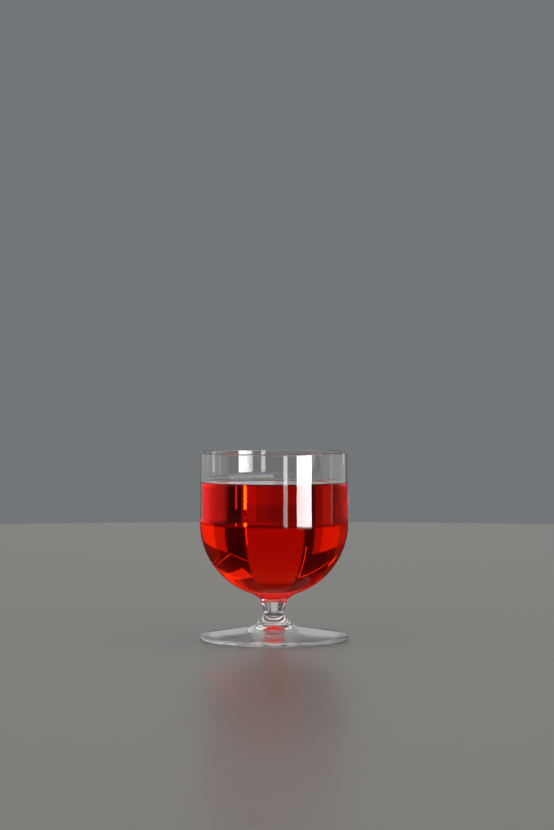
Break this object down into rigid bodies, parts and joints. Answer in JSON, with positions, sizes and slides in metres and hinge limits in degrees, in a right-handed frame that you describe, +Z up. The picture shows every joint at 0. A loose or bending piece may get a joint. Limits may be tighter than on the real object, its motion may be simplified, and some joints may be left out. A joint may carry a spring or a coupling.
{
  "type": "footed rocks glass",
  "caption": "Clear footed rocks glass: straight-sided bowl with a round bottom on a short waisted stem, collar and wide foot, holding a clear red drink.",
  "frame": {"origin": "on the axis of revolution, at the plane that the foot stands on", "axes": "+Z up along the axis of revolution, from the foot to the rim; X and Y are free, because the glass is round"},
  "size_m": [0.08, 0.08, 0.1015],
  "materials": {
    "clear_glass": "polished",
    "red_drink": "polished"
  },
  "bodies": {
    "root": {"foot": "clear_glass", "collar": "clear_glass", "stem": "clear_glass", "bowl": "clear_glass", "drink": "red_drink"}
  },
  "joints": []
}
